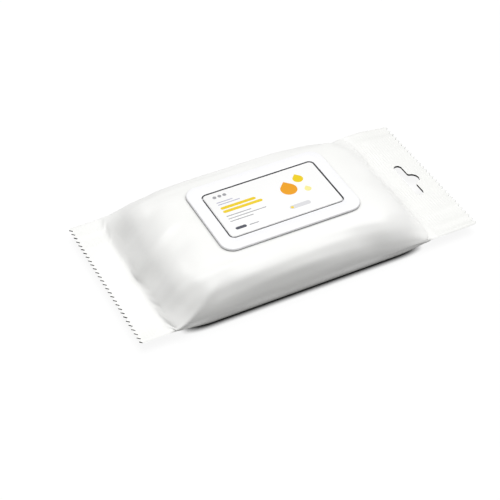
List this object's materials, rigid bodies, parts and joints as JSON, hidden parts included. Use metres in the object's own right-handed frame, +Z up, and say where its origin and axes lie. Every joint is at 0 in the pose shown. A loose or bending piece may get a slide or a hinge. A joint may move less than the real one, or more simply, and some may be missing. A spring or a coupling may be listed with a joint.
{
  "type": "wet wipes pack",
  "caption": "Soft film pack of wet wipes with crimped, saw-cut end seals, a hanging slot and a hinged flip-top closure on its top face.",
  "frame": {"origin": "middle of the underside of the whole pack", "axes": "+X along the pack towards the hanging slot, +Y towards the lid's hinge side, +Z up out of the lid"},
  "size_m": [0.2328, 0.112, 0.031],
  "materials": {
    "white_film": "satin white laminate film",
    "closure_plastic": "smooth moulded cool white polypropylene",
    "lid_plastic": "smooth moulded white polypropylene",
    "label_print": "glossy white film label with plain colour shapes",
    "peel_film": "pale blue-grey resealable film"
  },
  "bodies": {
    "root": {"wrapper": "white_film", "closure_base": "closure_plastic", "peel_label": "peel_film"},
    "lid": {"closure_lid": "lid_plastic", "lid_label": "label_print"}
  },
  "joints": [
    {"name": "lid_hinge", "type": "hinge", "parent": "root", "child": "lid", "pos_m": [-0.0014, 0.02075, 0.03075], "axis": [-1, 0, 0], "range_deg": [0, 115]}
  ]
}
